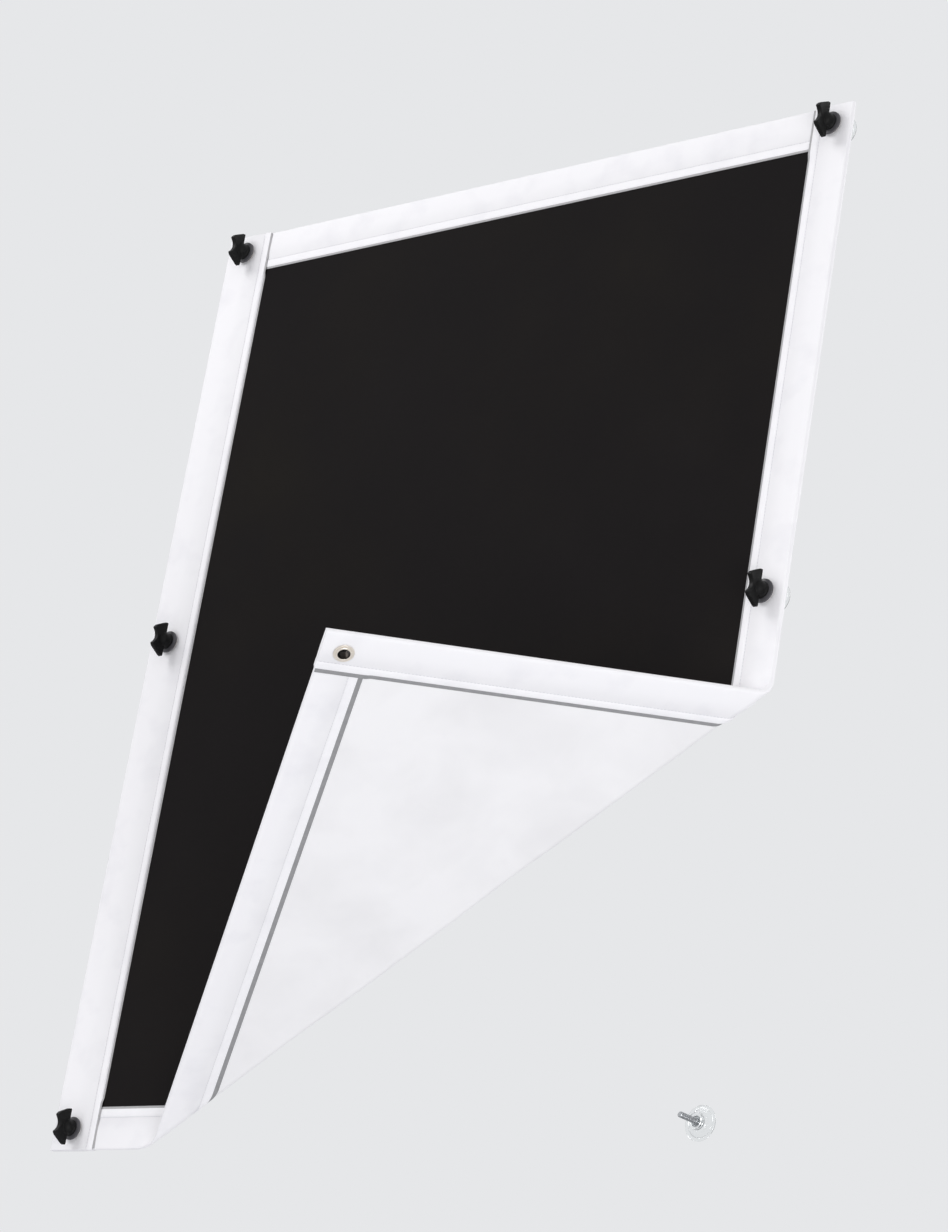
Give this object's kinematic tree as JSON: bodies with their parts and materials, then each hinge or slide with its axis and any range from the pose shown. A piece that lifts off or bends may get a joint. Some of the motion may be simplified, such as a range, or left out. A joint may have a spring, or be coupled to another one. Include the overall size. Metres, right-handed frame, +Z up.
{
  "type": "window blackout blind",
  "caption": "Flat blackout sheet with white edge bands, clamped by wing nuts to suction cups that hold it on glass, with a lower corner folded open.",
  "frame": {"origin": "on the glass plane, behind the middle of the sheet", "axes": "+Z up along the side edges, +X to the right seen from the room, +Y out through the glass, away from the room"},
  "size_m": [0.76, 0.3319, 0.93],
  "materials": {
    "black_cloth": "matt woven polyester",
    "pale_coating": "smooth coated cloth",
    "white_band": "soft stitched binding",
    "eyelet_nickel": "nickel plated",
    "clear_plastic": "clear soft vinyl",
    "stud_steel": "zinc plated thread",
    "black_plastic": "moulded nylon, satin",
    "grey_plastic": "moulded nylon, satin"
  },
  "bodies": {
    "sheet": {"face_ply": "black_cloth", "face_ply_crease": "black_cloth", "reverse_ply": "pale_coating", "reverse_ply_crease": "pale_coating", "band_top": "white_band", "band_left": "white_band", "band_right": "white_band", "band_right_crease": "white_band", "band_bottom": "white_band", "band_bottom_crease": "white_band", "eyelet_top_left": "eyelet_nickel", "eyelet_top_right": "eyelet_nickel", "eyelet_middle_left": "eyelet_nickel", "eyelet_middle_right": "eyelet_nickel", "eyelet_bottom_left": "eyelet_nickel", "eyelet_washer_top_left": "eyelet_nickel", "eyelet_washer_top_right": "eyelet_nickel", "eyelet_washer_middle_left": "eyelet_nickel", "eyelet_washer_middle_right": "eyelet_nickel", "eyelet_washer_bottom_left": "eyelet_nickel", "suction_cup_top_left": "clear_plastic", "suction_cup_top_right": "clear_plastic", "suction_cup_middle_left": "clear_plastic", "suction_cup_middle_right": "clear_plastic", "suction_cup_bottom_left": "clear_plastic", "suction_cup_bottom_right": "clear_plastic", "stud_top_left": "stud_steel", "stud_top_right": "stud_steel", "stud_middle_left": "stud_steel", "stud_middle_right": "stud_steel", "stud_bottom_left": "stud_steel", "stud_bottom_right": "stud_steel"},
    "corner": {"face_ply_corner": "black_cloth", "reverse_ply_corner": "pale_coating", "band_right_corner": "white_band", "band_bottom_corner": "white_band", "eyelet_bottom_right": "eyelet_nickel", "eyelet_washer_bottom_right": "eyelet_nickel"},
    "washer_top_left": {"nut_washer_top_left": "grey_plastic"},
    "washer_top_right": {"nut_washer_top_right": "grey_plastic"},
    "washer_middle_left": {"nut_washer_middle_left": "grey_plastic"},
    "washer_middle_right": {"nut_washer_middle_right": "grey_plastic"},
    "washer_bottom_left": {"nut_washer_bottom_left": "grey_plastic"},
    "nut_top_left": {"wing_nut_top_left": "black_plastic"},
    "nut_top_right": {"wing_nut_top_right": "black_plastic"},
    "nut_middle_left": {"wing_nut_middle_left": "black_plastic"},
    "nut_middle_right": {"wing_nut_middle_right": "black_plastic"},
    "nut_bottom_left": {"wing_nut_bottom_left": "black_plastic"}
  },
  "joints": [
    {"name": "corner_fold", "type": "hinge", "parent": "sheet", "child": "corner", "pos_m": [0.38, -0.01355, -0.084], "axis": [-0.8557, 0, -0.5175], "range_deg": [-102.5, 32.5], "deforming": ["face_ply_crease", "reverse_ply_crease", "band_right_crease", "band_bottom_crease"]},
    {"name": "washer_lift_top_left", "type": "slide", "parent": "sheet", "child": "washer_top_left", "axis": [0, -1, 0], "range_m": [0, 0.004]},
    {"name": "washer_lift_top_right", "type": "slide", "parent": "sheet", "child": "washer_top_right", "axis": [0, -1, 0], "range_m": [0, 0.004]},
    {"name": "washer_lift_middle_left", "type": "slide", "parent": "sheet", "child": "washer_middle_left", "axis": [0, -1, 0], "range_m": [0, 0.004]},
    {"name": "washer_lift_middle_right", "type": "slide", "parent": "sheet", "child": "washer_middle_right", "axis": [0, -1, 0], "range_m": [0, 0.004]},
    {"name": "washer_lift_bottom_left", "type": "slide", "parent": "sheet", "child": "washer_bottom_left", "axis": [0, -1, 0], "range_m": [0, 0.004]},
    {"name": "nut_turn_top_left", "type": "hinge", "parent": "washer_top_left", "child": "nut_top_left", "pos_m": [-0.352, -0.0184, 0.446], "axis": [0, -1, 0], "range_deg": [0, 1800]},
    {"name": "nut_turn_top_right", "type": "hinge", "parent": "washer_top_right", "child": "nut_top_right", "pos_m": [0.3595, -0.0184, 0.446], "axis": [0, -1, 0], "range_deg": [0, 1800]},
    {"name": "nut_turn_middle_left", "type": "hinge", "parent": "washer_middle_left", "child": "nut_middle_left", "pos_m": [-0.352, -0.0184, 0.032], "axis": [0, -1, 0], "range_deg": [0, 1800]},
    {"name": "nut_turn_middle_right", "type": "hinge", "parent": "washer_middle_right", "child": "nut_middle_right", "pos_m": [0.3595, -0.0184, 0.006], "axis": [0, -1, 0], "range_deg": [0, 1800]},
    {"name": "nut_turn_bottom_left", "type": "hinge", "parent": "washer_bottom_left", "child": "nut_bottom_left", "pos_m": [-0.352, -0.0184, -0.446], "axis": [0, -1, 0], "range_deg": [0, 1800]}
  ],
  "couplings": [
    {"joint": "washer_lift_top_left", "follows": "nut_turn_top_left", "m_per_rad": 0.000127},
    {"joint": "washer_lift_top_right", "follows": "nut_turn_top_right", "m_per_rad": 0.000127},
    {"joint": "washer_lift_middle_left", "follows": "nut_turn_middle_left", "m_per_rad": 0.000127},
    {"joint": "washer_lift_middle_right", "follows": "nut_turn_middle_right", "m_per_rad": 0.000127},
    {"joint": "washer_lift_bottom_left", "follows": "nut_turn_bottom_left", "m_per_rad": 0.000127}
  ]
}
